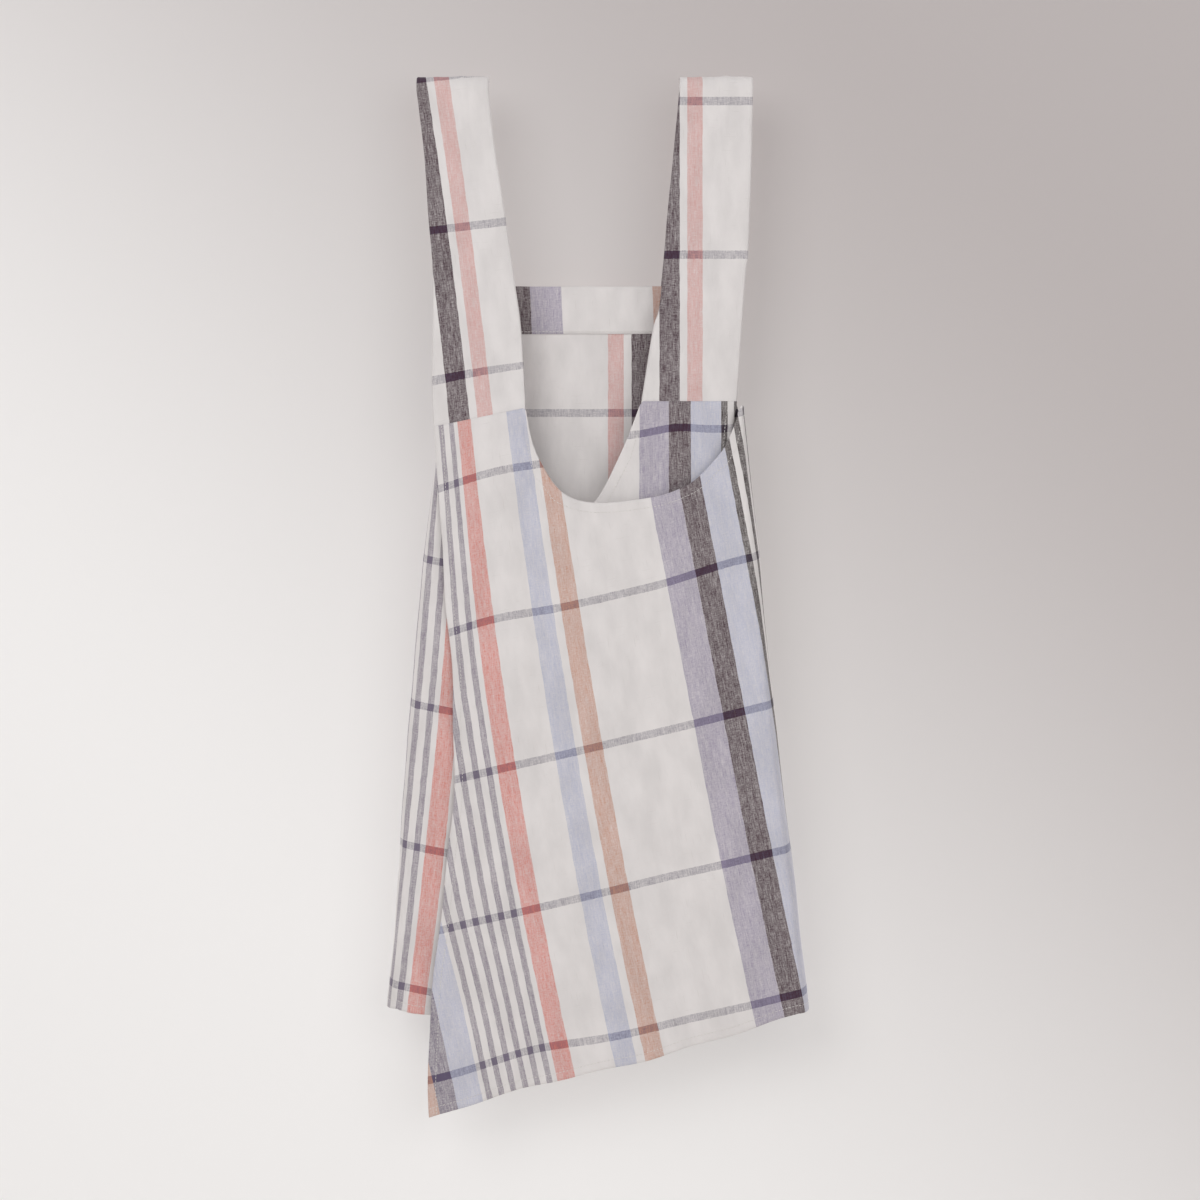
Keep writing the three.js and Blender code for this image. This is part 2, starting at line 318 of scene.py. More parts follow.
def outer_drape(x, z):
    """Broad shallow waves that fan out down the wing, with small creases on them."""
    t = np.clip((-z / DOWN - 330) / 660, 0, 1)
    along = x / ACROSS - 0.17 * (-z / DOWN - 426)
    waves = (0.6 + 2.4 * t) * np.sin(along / 27 + 1.1) + 1.3 * t * np.sin(along / 15.5 + 0.3)
    # The free edge leans back against the under wing, and slanting creases pull from the strap.
    tuck = 5.0 * ease((-60 - x / ACROSS) / 90) * ease(t * 4)
    pull = 1.1 * ease(1 - t * 3) * np.sin((x * 0.8 - z * 0.55) / 13)
    return (waves + tuck + pull + creases(x, z, 1)) * calm(OUTER_EDGE, x, z, x / ACROSS - OUTER_SEAM_END)


def under_drape(x, z):
    t = np.clip((-z / DOWN - 330) / 560, 0, 1)
    waves = (0.4 + 1.4 * t) * np.sin(x / 24 + 0.4) + 0.5 * np.sin(x / 11 + z / 60)
    return (waves + creases(x, z, 11)) * calm(UNDER_EDGE, x, z, UNDER_SEAM_END - x / ACROSS)


def panel_drape(x, z):
    t = np.clip((-z / DOWN - 200) / 690, 0, 1)
    waves = (0.5 + 1.8 * t) * np.sin(x / 30 + 2.0) + 0.8 * t * np.sin(x / 14 + z / 90)
    return -np.abs(0.3 * waves) + waves * 0.8 + creases(x, z, 21)


OUTER_EDGE = np.vstack([smooth(OUTER_TOP)[:-1], smooth(OUTER_SCOOP)])
UNDER_EDGE = np.vstack([smooth(UNDER_SCOOP)[:-1], smooth(UNDER_TOP)])
right_fold, left_fold = smooth(RIGHT_FOLD), smooth(LEFT_FOLD)
outer = wing_grid(1, right_fold, smooth(OUTER_FREE), OUTER_EDGE, smooth(OUTER_HEM), OUTER_Y, outer_drape)
under = wing_grid(-1, left_fold, smooth(UNDER_FREE), UNDER_EDGE, smooth(UNDER_HEM), UNDER_Y, under_drape)
panel = panel_grid()

# ---- cloth coordinates ---------------------------------------------------------------------
#
# Each piece has its own lean, fan and bow of the yarns, from how its cloth was cut and how it hangs.
# u and v are in millimetres on the flat cloth, so the repeat's stripes start at their own u.


def unrolled(grid, sign):
    """X of a wing's points with its side fold rolled out flat, measured from the fold's near side."""
    x = grid[..., 0].copy()
    first = np.argmax(np.abs(grid[0, :, 1] - PANEL_Y) > abs(PANEL_Y - grid[0, -1, 1]) * 0.999)
    steps = np.linalg.norm(np.diff(grid[:, : first + 1, :], axis=1), axis=-1)
    run = np.cumsum(steps[:, ::-1], axis=1)[:, ::-1]
    x[:, :first] = grid[:, first: first + 1, 0] + sign * run
    return x


def outer_cloth(grid):
    """The grain turns clockwise and fans out towards the hem, and the weft bows a little."""
    x, z = unrolled(grid, 1) / ACROSS, grid[..., 2] / DOWN
    coral_left = -117
    coral_right = coral_left + CORAL
    t = -z - 426        # the drop from just below the scoop
    u = x.copy()
    for _ in range(8):
        w = np.clip((u + 113) / 179, 0, 1)
        lean = (0.11 + 0.082 * w) * t
        left_bend = 0.000104 * (1 - w) * t**2
        right_bend = 0.00007 * w * np.clip(t - 250, 0, None) ** 2
        u = x - lean - left_bend - right_bend

    # From the coral stripe to the free edge the cloth is gathered below the strap, and a little at the hem.
    gathered = 0.3 * ease((174 - t) / 260) + 0.06 * ease((t - 350) / 130)
    u = u - gathered * np.clip(coral_right - u, 0, None)

    # The weft leans up to the right. It bows below the strap, at the right fold and at the hem.
    v = -z + 0.235 * (x - 15) - 361
    v += 4.5 * np.exp(-((x + 85) / 45) ** 2) * (1 - ease((t - 80) / 200))
    v += 6.0 * ease((x - 60) / 90) * (1 - ease(t / 250))
    v += 6.0 * np.exp(-((x + 45) / 50) ** 2) * ease((t - 380) / 100)
    return np.stack([u - coral_left + stripe_start("coral"), v], axis=-1)


def under_cloth(grid):
    """The grain hangs straight under the strap and turns the other way at the left fold."""
    x, z = unrolled(grid, -1) / ACROSS, grid[..., 2] / DOWN
    lilac_left = 54.6
    t = np.clip(-z - 398, 0, None)      # the drop from just above the scoop's foot
    w = np.clip((x + 150) / 250, 0, 1)
    u = x + (0.07 + 0.00005 * t) * (1 - w) * t + 8.8 * w - 4
    d = x + 147.5       # from the left fold
    # The weft bows up below the strap and hangs lower at the left fold.
    bow = 6.0 * np.exp(-((x - 88) / 30) ** 2) - 5.0 * ease((t - 70) / 130)
    v = (-z - 0.2 * d + 0.00057 * d**2 + bow - 464.6) * 1.03
    return np.stack([u - lilac_left + stripe_start("lilac"), v], axis=-1)


def panel_cloth(grid):
    """The panel is seen from its inside, so its stripes run the other way."""
    x, z = grid[..., 0] / ACROSS, grid[..., 2] / DOWN
    pink_end = stripe_start("pink") + PINK
    return np.stack([pink_end - 0.96 * (x - 24.2), -z - 321], axis=-1)


def band_cloth(grid):
    """The band is cut separately, so its stripes don't meet the panel's."""
    x, z = grid[..., 0] / ACROSS, grid[..., 2] / DOWN
    return np.stack([stripe_start("charcoal") - 0.965 * (x + 60.0) - 0.04 * z, -z - 160], axis=-1)


# ---- meshes --------------------------------------------------------------------------------


def normals(grid):
    """Unit normals of a grid, from its rows and columns."""
    across = np.gradient(grid, axis=1)
    down = np.gradient(grid, axis=0)
    n = np.cross(across, down)
    return n / np.maximum(np.linalg.norm(n, axis=-1, keepdims=True), 1e-9)


def make_mesh(name, points, faces, uv=None):
    mesh = bpy.data.meshes.new(name)
    mesh.from_pydata((np.asarray(points) * MM).tolist(), [], faces)
    if uv is not None:
        layer = mesh.uv_layers.new(name="cloth")
        corners = np.empty(len(mesh.loops), int)
        mesh.loops.foreach_get("vertex_index", corners)
        layer.data.foreach_set("uv", np.asarray(uv, np.float32)[corners].ravel())
    mesh.polygons.foreach_set("use_smooth", [True] * len(mesh.polygons))
    obj = bpy.data.objects.new(name, mesh)
    bpy.context.scene.collection.objects.link(obj)
    return obj


def rim_order(rows, columns):
    """Indices round the border of a grid."""
    top = [(0, j) for j in range(columns)]
    right = [(i, columns - 1) for i in range(1, rows)]
    foot = [(rows - 1, j) for j in range(columns - 2, -1, -1)]
    left = [(i, 0) for i in range(rows - 2, 0, -1)]
    return top + right + foot + left


def cloth_sheet(name, grid, uv, thick=CLOTH):
    """A closed sheet of cloth with a rounded edge, on both sides of a grid."""
    rows, columns = grid.shape[:2]
    n = normals(grid)
    order = rim_order(rows, columns)
    i, j = np.array(order).T
    inner_i = np.clip(i, 1, rows - 2)
    inner_j = np.clip(j, 1, columns - 2)
    out = grid[i, j] - grid[inner_i, inner_j]
    out /= np.maximum(np.linalg.norm(out, axis=-1, keepdims=True), 1e-9)
    rim = grid[i, j] + out * thick * 0.35
    points = np.vstack([
        (grid + n * thick / 2).reshape(-1, 3),
        (grid - n * thick / 2).reshape(-1, 3),
        rim,
    ])
    count = rows * columns
    a = (np.arange(rows - 1)[:, None] * columns + np.arange(columns - 1)).ravel()
    near = np.stack([a, a + columns, a + columns + 1, a + 1], axis=1)
    far = near[:, ::-1] + count
    flat = i * columns + j
    after = np.roll(flat, -1)
    mid = 2 * count + np.arange(len(order))
    mid_after = np.roll(mid, -1)
    upper = np.stack([flat, after, mid_after, mid], axis=1)
    lower = np.stack([mid, mid_after, after + count, flat + count], axis=1)
    # The near side is the one its normals point from, so the winding follows them.
    faces = np.vstack([near[:, ::-1], far[:, ::-1], upper[:, ::-1], lower[:, ::-1]])
    coords = np.vstack([uv.reshape(-1, 2), uv.reshape(-1, 2), uv[i, j]])
    return make_mesh(name, points, faces.tolist(), coords)


def walk(line, distance):
    """The point a given distance along a line of points."""
    run = np.concatenate([[0], np.cumsum(np.linalg.norm(np.diff(line[:, :3], axis=0), axis=1))])
    return np.array([np.interp(distance, run, line[:, k]) for k in range(line.shape[1])])


def inward_lines(grid, edge):
    """The grid's lines that start on one edge and run into the cloth."""
    if edge == "top":
        return np.moveaxis(grid, 1, 0)
    if edge == "foot":
        return np.moveaxis(grid[::-1], 1, 0)
    if edge == "last":
        return grid[:, ::-1]
    return grid


def inset(grid, edge, distance):
    """Points on the cloth that keep an even distance from one of its edges."""
    lines = inward_lines(grid, edge)
    along = np.gradient(lines[:, 0, :3], axis=0)
    inward = lines[:, 1, :3] - lines[:, 0, :3]
    along /= np.linalg.norm(along, axis=1, keepdims=True)
    inward /= np.linalg.norm(inward, axis=1, keepdims=True)
    square = np.sqrt(np.clip(1 - np.sum(along * inward, axis=1) ** 2, 0.08, 1))
    return np.array([walk(line, distance / s) for line, s in zip(lines, square)])


def turning(grid, edge, width, side, uv, first=0, last=None, offset=TURN_GAP):
    """A band of cloth turned in along an edge, lying on one side of the cloth."""
    whole = np.concatenate([grid, normals(grid), uv], axis=-1)
    steps = np.linspace(0.4, width, 5)
    strips = np.array([inset(whole, edge, d) for d in steps])[:, first:last]
    band = strips[..., :3] + strips[..., 3:6] * side * offset
    if side < 0:
        band, strips = band[::-1], strips[::-1]
    return band, strips[..., 6:8]


def resampled(line, pitch):
    run = np.concatenate([[0], np.cumsum(np.linalg.norm(np.diff(line[:, :3], axis=0), axis=1))])
    count = max(int(run[-1] / pitch), 2)
    at = (np.arange(count) + 0.5) * run[-1] / count
    return np.array([np.interp(at, run, line[:, k]) for k in range(line.shape[1])]).T


def stitches(name, rows_of_stitches):
    """Rows of separate stitches, each a short rounded length of thread."""
    sides = 6
    around = np.arange(sides) * 2 * math.pi / sides
    points, faces = [], []
    for line in rows_of_stitches:
        spots = resampled(line, STITCH_PITCH)
        along = np.gradient(spots[:, :3], axis=0)
        along /= np.linalg.norm(along, axis=1, keepdims=True)
        for spot, d in zip(spots, along):
            up = spot[3:6] / np.linalg.norm(spot[3:6])
            across = np.cross(up, d)
            middle = spot[:3] + up * (CLOTH / 2 + THREAD * 0.12)
            base = len(points)
            points.append(middle - d * STITCH / 2 - up * THREAD * 0.3)
            for run in (-0.34, 0.34):
                for a in around:
                    ring = across * math.cos(a) + up * math.sin(a)
                    points.append(middle + d * STITCH * run + ring * THREAD / 2)
            points.append(middle + d * STITCH / 2 - up * THREAD * 0.3)
            for k in range(sides):
                m = (k + 1) % sides
                faces.append((base, base + 1 + m, base + 1 + k))
                faces.append((base + 1 + k, base + 1 + m, base + 1 + sides + m, base + 1 + sides + k))
                faces.append((base + 1 + sides + k, base + 1 + sides + m, base + 1 + 2 * sides))
    return make_mesh(name, points, faces)


def stitch_row(grid, edge, distance, side, first=0, last=None):
    whole = np.concatenate([grid, normals(grid) * side], axis=-1)
    return inset(whole, edge, distance)[first:last]


# ---- straps --------------------------------------------------------------------------------


def strap_tube(name, centre, half_width, away, pressed, uv_of):
    """A flat closed tube, pressed thin where it is sewn. centre and away are per row."""
    rows = len(centre)
    edge = STRAP / 2
    face = np.linspace(-1, 1, 26)
    front = [(s, 1.0, 0.0) for s in face]
    back = [(s, -1.0, 0.0) for s in face[::-1]]
    loop = np.array([*front, (1.0, 0.0, 1.0), *back, (-1.0, 0.0, -1.0)])
    across, up, round_edge = loop.T
    flat = (1 - 0.4 * pressed)[:, None]
    x = centre[:, None, 0] + across * (half_width[:, None] - edge) + round_edge * edge
    belly = 0.8 + 0.2 * np.cos(across * math.pi / 2)
    relief = strap_relief(across, centre[:, 2:3]) * (0.7 + 0.3 * up) * (1 - pressed)[:, None]
    rise = up * edge * belly * flat + relief
    y = centre[:, None, 1] + away[:, None, 1] * rise
    z = centre[:, None, 2] + away[:, None, 2] * rise
    grid = np.stack([x, y, z], axis=-1)
    count = len(loop)
    faces = []
    for i in range(rows - 1):
        for j in range(count):
            k = (j + 1) % count
            faces.append((i * count + j, i * count + k, (i + 1) * count + k, (i + 1) * count + j))
    faces.append(tuple(range(count - 1, -1, -1)))
    faces.append(tuple((rows - 1) * count + j for j in range(count)))
    if np.cross([1.0, 0.0, 0.0], centre[1] - centre[0]) @ away[0] < 0:
        faces = [f[::-1] for f in faces]
    obj = make_mesh(name, grid.reshape(-1, 3), faces, uv_of(grid).reshape(-1, 2))
    for cap in list(obj.data.polygons)[-2:]:
        cap.use_smooth = False
    return obj


def strap_relief(s, z):
    """Two soft lengthwise creases, and a faint wave across the strap."""
    crease = 0.7 * np.exp(-((s - 0.25 - z / 2600) / 0.09) ** 2) + 0.4 * np.exp(-((s + 0.45) / 0.12) ** 2)
    return crease + 0.4 * np.sin(s * 3 + z / 55)


def leg_rows(leg, z):
    a, b = x_at(smooth(leg["left"]), z), x_at(smooth(leg["right"]), z)
    return (a + b) / 2, (b - a) / 2


def strap_front(name, leg, foot_y, cloth):
    """From behind the hanging line, over it, and down the front to the wing the strap is sewn to."""
    turn = np.linspace(math.pi, 0, 27)
    fold_top = CAD_HALF - PEAK_Z
    over = np.stack([0 * turn, -STRAP_OUT * np.cos(turn), PEAK_Z + fold_top * np.sin(turn)], axis=-1)
    over_away = np.stack([0 * turn, -np.cos(turn), np.sin(turn) * STRAP_OUT / fold_top], axis=-1)
    over_away /= np.linalg.norm(over_away, axis=1, keepdims=True)
    over[:, 0], over_half = leg_rows(leg, np.full_like(turn, PEAK_Z))

    left_foot, right_foot = leg["left"][-1][1] * DOWN, leg["right"][-1][1] * DOWN
    seam_z = (left_foot + right_foot) / 2
    z = np.linspace(PEAK_Z, seam_z - SEAM_LAP / 2, 90)[1:]
    x, half = leg_rows(leg, z)
    t = (z - PEAK_Z) / (seam_z - PEAK_Z)
    leaving = np.where(t < LEG_CURVE, t**2 / LEG_CURVE / 2, t - LEG_CURVE / 2)
    y = mix(-STRAP_OUT, foot_y, leaving / (1 - LEG_CURVE / 2))
    down = np.stack([x, y, z], axis=-1)

    centre = np.vstack([over, down])
    away = np.vstack([over_away, np.tile([0.0, -1.0, 0.0], (len(z), 1))])
    half = np.concatenate([over_half, half])
    pressed = np.concatenate([0 * turn, ease(t * 9 - 8 + 0.15)])
    run = np.cumsum(np.linalg.norm(np.diff(over[:, 1:], axis=0), axis=1)[::-1])[::-1]

    def round_cloth(grid):
        flat = grid.copy()
        flat[: len(run), :, 2] = PEAK_Z + run[:, None]
        return cloth(flat)

    obj = strap_tube(name, centre, half, away, pressed, round_cloth)
    tilt_foot(obj, x[-1], half[-1], (right_foot - left_foot) / 2, z[-1])
    return obj


def tilt_foot(obj, middle_x, half, rise, foot_z):
    """Slants a strap's foot to follow its seam."""
    for vertex in obj.data.vertices:
        p = vertex.co / MM
        near = ease((foot_z + FOOT_TILT - p.z) / FOOT_TILT)
        vertex.co.z += near * rise * (p.x - middle_x) / half * MM


def strap_back(name, sign, leg, cloth):
    """The leg behind the hanging line, down to the bib's top edge."""
    x_top, half_top = leg_rows(leg, PEAK_Z)
    share = np.linspace(0, 1, 60)
    foot_half = half_top * BACK_FOOT
    foot_x = sign * ((BIB_HALF - 1.0) * ACROSS - foot_half)
    foot_z = (BIB_TOP - SEAM_LAP) * DOWN
    x = mix(x_top, foot_x, share)
    y = mix(STRAP_OUT, PANEL_Y - 1.6, share)
    centre = np.stack([x, y, mix(PEAK_Z, foot_z, share)], axis=-1)
    away = np.tile([0.0, 1.0, 0.0], (len(share), 1))
    over_fold = math.pi * (STRAP_OUT - PEAK_Z) / 2

    def round_cloth(grid):
        flat = grid.copy()
        flat[..., 2] = over_fold - grid[..., 2]
        return cloth(flat)

    half = mix(half_top, foot_half, share)
    pressed = ease(share * 7 - 6 + 0.15)
    return strap_tube(name, centre, half, away, pressed, round_cloth)


def left_strap_cloth(grid):
    """The strap leans, so its grain does too."""
    x, z = grid[..., 0] / ACROSS, grid[..., 2] / DOWN
    t = -z
    u = x - 0.155 * t + 0.000073 * t**2
    first_weft = 143.5      # the drop to the upper weft stripe
    v = np.where(t < first_weft, 0.95, 0.994) * (t - first_weft) + 0.12 * (x + 109)
    return np.stack([u + 173.4 + stripe_start("charcoal", 1), v], axis=-1)


def right_strap_cloth(grid):
    """The grain hangs straight down."""
    x, z = grid[..., 0] / ACROSS, grid[..., 2] / DOWN
    charcoal_end = stripe_start("charcoal", 1) + CHARCOAL
    first_weft = 22.8
    return np.stack([x - 90 + charcoal_end, 0.953 * (-z - first_weft)], axis=-1)


# ---- materials -----------------------------------------------------------------------------


def linear(rgb):
    c = np.array(rgb, float) / 255
    return np.where(c <= 0.04045, c / 12.92, ((c + 0.055) / 1.055) ** 2.4)


def warp_share(name):
    # Charcoal yarns get a larger share, which paints the shade between the yarns into their stripes.
    return SHADED_DARK_SHARE if name in DARK else WARP_SHARE


def yarn(name):
    """The yarn colour that gives a stripe its shown colour once white yarn crosses it."""
    white = linear(SHOWN["white"])
    share = 1 - WARP_SHARE if name == "weft" else warp_share(name)
    return np.clip((linear(SHOWN[name]) - (1 - share) * white) / share, 0.012, 0.9)


class Graph:
    """Short calls for adding shader nodes and joining them up."""

    def __init__(self, name):
        self.material = bpy.data.materials.new(name)
        self.material.use_nodes = True
        self.nodes = self.material.node_tree.nodes
        self.links = self.material.node_tree.links
        self.shader = self.nodes["Principled BSDF"]

    def put(self, socket, value):
        if isinstance(value, bpy.types.NodeSocket):
            self.links.new(value, socket)
        elif isinstance(value, (tuple, list, np.ndarray)):
            socket.default_value = (*value, 1.0)[:len(socket.default_value)]
        else:
            socket.default_value = value

    def math(self, operation, a, b=0.0, c=0.0):
        node = self.nodes.new("ShaderNodeMath")
        node.operation = operation
        for socket, value in zip(node.inputs, (a, b, c)):
            self.put(socket, value)
        return node.outputs[0]

    def blend(self, factor, a, b, kind="MIX"):
        node = self.nodes.new("ShaderNodeMix")
        node.data_type = "RGBA"
        node.blend_type = kind
        self.put(node.inputs["Factor"], factor)
        self.put(node.inputs["A"], a)
        self.put(node.inputs["B"], b)
        return node.outputs["Result"]

    def vector(self, x, y, z=0.0):
        node = self.nodes.new("ShaderNodeCombineXYZ")
        for socket, value in zip(node.inputs, (x, y, z)):
            self.put(socket, value)
        return node.outputs[0]

    def noise(self, vector, scale=1.0, detail=2.0):
        node = self.nodes.new("ShaderNodeTexNoise")
        self.put(node.inputs["Vector"], vector)
        node.inputs["Scale"].default_value = scale
        node.inputs["Detail"].default_value = detail
        return node.outputs["Fac"]

    def range(self, value, low, high, to_low=0.0, to_high=1.0):
        node = self.nodes.new("ShaderNodeMapRange")
        node.interpolation_type = "SMOOTHSTEP"
        self.put(node.inputs["Value"], value)
        for name, number in zip(("From Min", "From Max", "To Min", "To Max"), (low, high, to_low, to_high)):
            node.inputs[name].default_value = number
        return node.outputs["Result"]

    def bump(self, height, strength, distance, normal=None):
        node = self.nodes.new("ShaderNodeBump")
        node.inputs["Strength"].default_value = strength
        node.inputs["Distance"].default_value = distance
        self.put(node.inputs["Height"], height)
        if normal is not None:
            self.put(node.inputs["Normal"], normal)
        return node.outputs["Normal"]


def plaid_ramp(g, position):
    """The repeat's wide stripes, as sharp steps along a colour ramp. Alpha holds the warp's share."""
    node = g.nodes.new("ShaderNodeValToRGB")
    ramp = node.color_ramp
    ramp.interpolation = "CONSTANT"
    at = 0
    for index, (name, width) in enumerate(PLAID):
        stop = ramp.elements[0] if index == 0 else ramp.elements.new(at / REPEAT)
        colour = "white" if name in FINE else name
        stop.color = (*yarn(colour), warp_share(colour))
        at += width
    ramp.elements.remove(ramp.elements[-1])
    g.put(node.inputs["Fac"], position)
    return node.outputs["Color"], node.outputs["Alpha"]


def fine_stripes(g, u, name):
    """1 on the narrow stripes of one group, 0 elsewhere."""
    start = stripe_start(name)
    pitch, width = FINE[name]
    room = dict(PLAID)[name]
    into = g.math("SUBTRACT", u, start)
    inside = g.math("MULTIPLY", g.math("GREATER_THAN", into, 0.0), g.math("LESS_THAN", into, room))
    step = g.math("FLOORED_MODULO", into, pitch)
    return g.math("MULTIPLY", inside, g.math("LESS_THAN", step, width))


def plaid_linen():
    g = Graph("plaid_linen")
    uv = g.nodes.new("ShaderNodeUVMap")
    uv.uv_map = "cloth"
    split = g.nodes.new("ShaderNodeSeparateXYZ")
    g.put(split.inputs[0], uv.outputs["UV"])
    u, v = split.outputs["X"], split.outputs["Y"]

    # Yarns wander a little, so a stripe's edge is never a ruled line.
    wander = g.noise(g.vector(g.math("MULTIPLY", u, 0.3), g.math("MULTIPLY", v, 0.05)))
    u_yarn = g.math("MULTIPLY_ADD", g.math("SUBTRACT", wander, 0.5), 1.6, u)
    u_repeat = g.math("FLOORED_MODULO", u_yarn, REPEAT)
    v_yarn = g.math("MULTIPLY_ADD", g.math("SUBTRACT", wander, 0.5), 1.2, v)

    warp, cover = plaid_ramp(g, g.math("DIVIDE", u_repeat, REPEAT))
    for name in FINE:
        stripe = fine_stripes(g, u_repeat, name)
        warp = g.blend(stripe, warp, yarn(name))
        cover = g.math("MULTIPLY_ADD", stripe, warp_share(name) - WARP_SHARE, cover)
    bar = g.math("FLOORED_MODULO", g.math("ADD", v_yarn, WEFT_STRIPE / 2), WEFT_PITCH)
    weft = g.blend(g.math("LESS_THAN", bar, WEFT_STRIPE), yarn("white"), yarn("weft"))

    # Single yarns differ in thickness and dye: streaks along the warp, and shorter ones along the weft.
    streak = g.noise(g.vector(g.math("MULTIPLY", u, 1.5), g.math("MULTIPLY", v, 0.1)), detail=3.0)
    band = g.noise(g.vector(g.math("MULTIPLY", u, 0.4), g.math("MULTIPLY", v, 0.018), 23.0), detail=2.0)
    dash = g.noise(g.vector(g.math("MULTIPLY", u, 0.16), g.math("MULTIPLY", v, 1.5), 5.0), detail=2.0)
    grain = g.noise(g.vector(g.math("MULTIPLY", u, 0.9), g.math("MULTIPLY", v, 0.5), 9.0), detail=3.0)
    over = g.math("SINE", g.math("MULTIPLY", u, math.pi / 0.62))
    under_over = g.math("MULTIPLY", over, g.math("SINE", g.math("MULTIPLY", v, math.pi / 0.66)))
    share = g.math("MULTIPLY_ADD", g.math("SUBTRACT", streak, 0.5), -0.95, g.math("SUBTRACT", 1.0, cover))
    share = g.math("MULTIPLY_ADD", g.math("SUBTRACT", band, 0.5), 0.4, share)
    share = g.math("MULTIPLY_ADD", g.math("SUBTRACT", dash, 0.5), 0.65, share)
    share = g.math("MULTIPLY_ADD", g.math("SUBTRACT", grain, 0.5), 0.5, share)
    share = g.math("MULTIPLY_ADD", under_over, 0.12, share)
    share = g.math("MINIMUM", g.math("MAXIMUM", share, 0.04), 0.85)
    colour = g.blend(share, warp, weft)

    # Slubs and faint tone changes.
    tone = g.noise(g.vector(g.math("MULTIPLY", u, 0.05), g.math("MULTIPLY", v, 0.02), 2.0), detail=4.0)
    colour = g.blend(1.0, colour, tone_grey(g, tone, 0.93, 1.05), "MULTIPLY")
    slub = g.noise(g.vector(g.math("MULTIPLY", u, 0.9), g.math("MULTIPLY", v, 0.045), 14.0))
    slub = g.range(slub, 0.66, 0.74)
    cross_slub = g.noise(g.vector(g.math("MULTIPLY", u, 0.05), g.math("MULTIPLY", v, 1.0), 17.0))
    cross_slub = g.range(cross_slub, 0.67, 0.75)
    slubs = g.math("MAXIMUM", slub, cross_slub)
    colour = g.blend(g.math("MULTIPLY", slubs, 0.16), colour, (0.42, 0.38, 0.34))
    g.put(g.shader.inputs["Base Color"], colour)

    relief = g.math("MULTIPLY_ADD", g.math("ABSOLUTE", under_over), 0.5, g.math("MULTIPLY", slubs, 0.6))
    relief = g.math("MULTIPLY_ADD", streak, 0.5, relief)
    pucker = g.noise(g.vector(g.math("MULTIPLY", u, 0.16), g.math("MULTIPLY", v, 0.07), 3.0), detail=4.0)
    soft = g.bump(pucker, 0.3, 0.0014)
    g.put(g.shader.inputs["Normal"], g.bump(relief, 0.35, 0.00022, soft))
    g.put(g.shader.inputs["Roughness"], g.range(grain, 0.3, 0.7, 0.82, 0.96))
    g.shader.inputs["Specular IOR Level"].default_value = 0.25
    g.shader.inputs["Sheen Weight"].default_value = 0.12
    g.shader.inputs["Sheen Roughness"].default_value = 0.6
    return g.material


def tone_grey(g, value, low, high):
    ranged = g.range(value, 0.25, 0.75, low, high)
    return g.vector(ranged, ranged, ranged)


def sewing_thread():
    g = Graph("sewing_thread")
    place = g.nodes.new("ShaderNodeTexCoord").outputs["Object"]
    twist = g.noise(place, scale=2600.0, detail=2.0)
    g.put(g.shader.inputs["Base Color"], g.blend(twist, (0.60, 0.57, 0.54), (0.78, 0.75, 0.72)))
    g.put(g.shader.inputs["Normal"], g.bump(twist, 0.4, 0.0001))
    g.shader.inputs["Roughness"].default_value = 0.7
    g.shader.inputs["Specular IOR Level"].default_value = 0.3
    return g.material


LINEN = plaid_linen()
THREAD_MATERIAL = sewing_thread()

# ---- pieces --------------------------------------------------------------------------------

ROOT, WRAP = "hung_body", "outer_wrap"


def hang(obj, *nodes, material=LINEN):
    """A piece that stays with the hanging body."""
    dress(obj, material, nodes)
    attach(obj, ROOT)
    return obj


def dress(obj, material, nodes):
    obj.data.materials.append(material)
    if nodes:
        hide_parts(*nodes)


def open_with_wing(obj, *nodes, material=LINEN):
    """A piece of the outer wing, with its transform baked into its mesh."""
    dress(obj, material, nodes)
    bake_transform(obj)
    return obj


def band_piece(name, grid, edge, width, side, uv, **span):
    """A turned-in band as a piece of its own."""
    band, coords = turning(grid, edge, width, side, uv, **span)
    return cloth_sheet(name, band, coords, TURNED)


def outer_wing():
    uv = outer_cloth(outer)
    seam = int(np.argmax(outer[0, :, 0] < OUTER_SEAM_END * ACROSS))
    cloth = open_with_wing(
        cloth_sheet("outer_wing", outer, uv), "outer_wing_flap", "outer_wing_root", "right_side_fold")
    facing = open_with_wing(
        band_piece("outer_scoop_facing", outer, "top", BAND, -1, uv, last=seam),
        "outer_scoop_facing_flap", "outer_scoop_facing_root")
    hem = open_with_wing(band_piece("outer_wing_hem", outer, "foot", HEM, -1, uv))
    side = open_with_wing(band_piece("outer_wing_side_hem", outer, "last", HEM, -1, uv, offset=SIDE_GAP))
    thread = open_with_wing(stitches("outer_wing_stitching", [
        stitch_row(outer, "top", BAND - 1, 1, last=seam),
        stitch_row(outer, "foot", HEM - 1, 1),
        stitch_row(outer, "last", HEM - 1, 1),
    ]), material=THREAD_MATERIAL)


def under_wing():
    uv = under_cloth(under)
    seam = int(np.argmax(under[0, :, 0] > UNDER_SEAM_END * ACROSS))
    sheet = cloth_sheet("under_wing_cloth", under[:, ::-1], uv[:, ::-1])
    cloth = hang(sheet, "under_wing", "left_side_fold")
    facing = band_piece("under_scoop_band", under, "top", BAND, 1, uv, last=seam)
    hang(facing, "under_scoop_facing")
    hem = hang(band_piece("under_wing_hem", under, "foot", HEM, 1, uv))
    side = hang(band_piece("under_wing_side_hem", under, "last", HEM, 1, uv, offset=SIDE_GAP))
    thread = hang(stitches("under_wing_stitching", [
        stitch_row(under, "top", BAND - 1, -1, last=seam),
        stitch_row(under, "foot", HEM - 1, -1),
        stitch_row(under, "last", HEM - 1, -1),
    ]), material=THREAD_MATERIAL)


